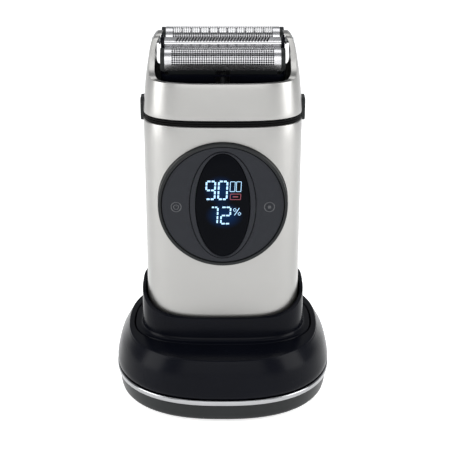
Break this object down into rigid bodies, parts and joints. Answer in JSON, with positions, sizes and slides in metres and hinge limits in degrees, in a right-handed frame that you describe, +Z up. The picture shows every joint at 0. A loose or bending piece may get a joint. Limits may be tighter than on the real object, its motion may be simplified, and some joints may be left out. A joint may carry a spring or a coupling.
{
  "type": "electric shaver",
  "caption": "Foil shaver with a round display dial, tilting foil head and arms, standing in an oval charging dock with a metal trim ring.",
  "frame": {"origin": "on the table under the centre of the dock", "axes": "+Z up, the front with the dial faces -Y, +X to the right seen from the front"},
  "size_m": [0.0976, 0.093, 0.1635],
  "materials": {
    "satin_metal": "satin, slightly warm silver",
    "chrome": "polished",
    "foil_steel": "bright, perforated",
    "blade_steel": "ground steel",
    "gloss_black": "high gloss",
    "satin_black": "satin moulded",
    "dial_face": "fine concentric turned texture",
    "display_glass": "glossy black window",
    "rubber": "matt",
    "inner_plastic": "plain moulded",
    "circuit_board": "solder mask",
    "cell_wrap": "shrink wrap",
    "motor_can": "zinc plated",
    "brass": "plated",
    "steel": "plated",
    "ballast": "rough"
  },
  "bodies": {
    "dock": {"dock_base": "satin_black", "chrome_ring": "chrome", "dock_cover": "gloss_black", "dock_cup": "gloss_black", "dock_ballast": "ballast", "dock_board": "circuit_board", "dock_inlet": "steel", "dock_screw_1": "steel", "dock_screw_2": "steel", "dock_screw_3": "steel", "dock_screw_4": "steel", "rubber_foot_1": "rubber", "rubber_foot_2": "rubber", "rubber_foot_3": "rubber", "rubber_foot_4": "rubber"},
    "contact_left": {"dock_pin_left": "brass"},
    "contact_right": {"dock_pin_right": "brass"},
    "handset": {"front_shell": "satin_metal", "rear_shell": "satin_metal", "inner_chassis": "inner_plastic", "neck_seal": "rubber", "dial_ring": "satin_black", "display_ring": "dial_face", "display_lens": "display_glass", "display_module": "inner_plastic", "main_board": "circuit_board", "power_switch": "inner_plastic", "mode_switch": "inner_plastic", "battery_cell": "cell_wrap", "motor": "motor_can", "charge_board": "circuit_board", "charge_pad_left": "brass", "charge_pad_right": "brass", "shell_screw_1": "steel", "shell_screw_2": "steel", "shell_screw_3": "steel", "shell_screw_4": "steel"},
    "dial": {"dial_face": "dial_face"},
    "button_left": {"release_button_left": "satin_black"},
    "button_right": {"release_button_right": "satin_black"},
    "crank": {"eccentric_cam": "steel"},
    "yoke": {"drive_yoke": "inner_plastic"},
    "head": {"head_frame": "satin_metal", "pivot_pin_left": "steel", "pivot_pin_right": "steel"},
    "cassette": {"cassette_frame": "satin_black"},
    "front_foil": {"foil_carrier_front": "satin_black", "foil_front": "foil_steel"},
    "rear_foil": {"foil_carrier_rear": "satin_black", "foil_rear": "foil_steel"},
    "trimmer": {"trimmer_guard": "foil_steel"},
    "front_cutter": {"cutter_front": "blade_steel"},
    "rear_cutter": {"cutter_rear": "blade_steel"},
    "trimmer_blade": {"trimmer_cutter": "blade_steel"}
  },
  "joints": [
    {"name": "handset_lift", "type": "slide", "parent": "dock", "child": "handset", "axis": [0, 0, 1], "range_m": [0, 0.06]},
    {"name": "contact_left_press", "type": "slide", "parent": "dock", "child": "contact_left", "axis": [0, 0, 1], "range_m": [-0.001, 0], "stiffness_N_per_m": 300},
    {"name": "contact_right_press", "type": "slide", "parent": "dock", "child": "contact_right", "axis": [0, 0, 1], "range_m": [-0.001, 0], "stiffness_N_per_m": 300},
    {"name": "dial_rock", "type": "hinge", "parent": "handset", "child": "dial", "pos_m": [0, -0.0224, 0.0936], "axis": [0, 0, 1], "range_deg": [-1, 1], "stiffness_Nm_per_rad": 1.5},
    {"name": "release_left_press", "type": "slide", "parent": "handset", "child": "button_left", "axis": [1, 0, 0], "range_m": [0, 0.0015], "stiffness_N_per_m": 900},
    {"name": "release_right_press", "type": "slide", "parent": "handset", "child": "button_right", "axis": [-1, 0, 0], "range_m": [0, 0.0015], "stiffness_N_per_m": 900},
    {"name": "motor_spin", "type": "hinge", "parent": "handset", "child": "crank", "pos_m": [0, 0.005, 0.123], "axis": [0, 0, 1], "continuous": true},
    {"name": "drive_stroke", "type": "slide", "parent": "handset", "child": "yoke", "axis": [1, 0, 0], "range_m": [-0.0012, 0.0012]},
    {"name": "head_release", "type": "slide", "parent": "handset", "child": "head", "axis": [0, 0, 1], "range_m": [0, 0.03]},
    {"name": "head_tilt", "type": "hinge", "parent": "head", "child": "cassette", "pos_m": [0, 0, 0.1595], "axis": [1, 0, 0], "range_deg": [-12, 12], "stiffness_Nm_per_rad": 0.3},
    {"name": "front_foil_float", "type": "slide", "parent": "cassette", "child": "front_foil", "axis": [0, -0.309, 0.9511], "range_m": [-0.0015, 0], "stiffness_N_per_m": 700},
    {"name": "rear_foil_float", "type": "slide", "parent": "cassette", "child": "rear_foil", "axis": [0, -0.309, 0.9511], "range_m": [-0.0015, 0], "stiffness_N_per_m": 700},
    {"name": "trimmer_float", "type": "slide", "parent": "cassette", "child": "trimmer", "axis": [0, -0.309, 0.9511], "range_m": [-0.0015, 0], "stiffness_N_per_m": 700},
    {"name": "front_cutter_stroke", "type": "slide", "parent": "front_foil", "child": "front_cutter", "axis": [1, 0, 0], "range_m": [-0.0012, 0.0012]},
    {"name": "rear_cutter_stroke", "type": "slide", "parent": "rear_foil", "child": "rear_cutter", "axis": [1, 0, 0], "range_m": [-0.0012, 0.0012]},
    {"name": "trimmer_stroke", "type": "slide", "parent": "trimmer", "child": "trimmer_blade", "axis": [1, 0, 0], "range_m": [-0.0012, 0.0012]}
  ],
  "couplings": [
    {"joint": "front_cutter_stroke", "follows": "drive_stroke", "ratio": 1},
    {"joint": "rear_cutter_stroke", "follows": "drive_stroke", "ratio": 1},
    {"joint": "trimmer_stroke", "follows": "drive_stroke", "ratio": 1}
  ]
}
